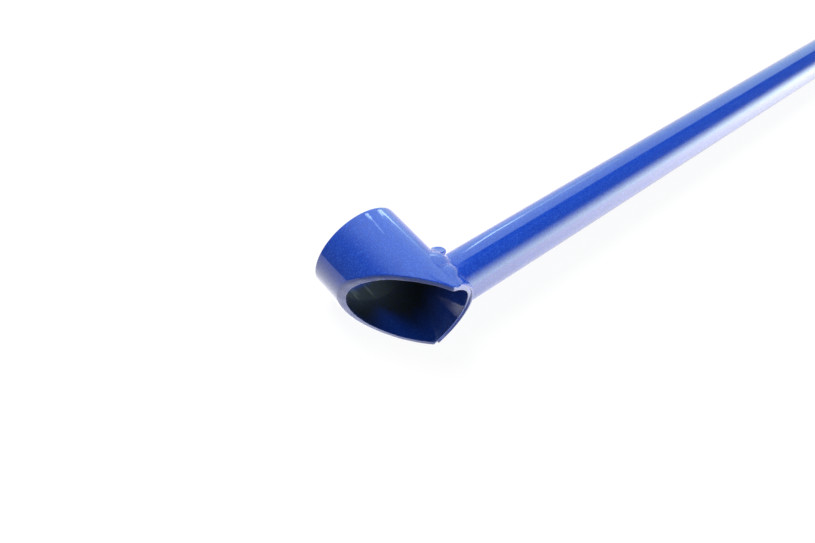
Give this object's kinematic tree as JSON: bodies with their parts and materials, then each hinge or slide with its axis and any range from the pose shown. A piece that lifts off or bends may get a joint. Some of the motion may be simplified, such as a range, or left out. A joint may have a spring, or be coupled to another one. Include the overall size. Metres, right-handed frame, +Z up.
{
  "type": "pry bar",
  "caption": "Pry bar: a short steel tube with a slanted open mouth, welded across the end of a straight tubular lever with a plugged free end.",
  "frame": {"origin": "where the lever's axis meets the head tube's axis", "axes": "+X along the lever, away from the head; +Y along the head tube, from its lip towards its square end; +Z up as the tool lies with both axes level"},
  "size_m": [0.6101, 0.0541, 0.0482],
  "materials": {
    "flake_paint": "gloss metallic flake blue under a clear coat",
    "painted_weld": "gloss metallic flake blue over a rippled weld",
    "plug_plastic": "satin black moulded polyethylene"
  },
  "bodies": {
    "root": {"head_tube": "flake_paint", "lever_tube": "flake_paint", "weld_crown_run": "painted_weld", "weld_lip_run": "painted_weld", "weld_lump": "painted_weld", "end_plug": "plug_plastic"}
  },
  "joints": []
}
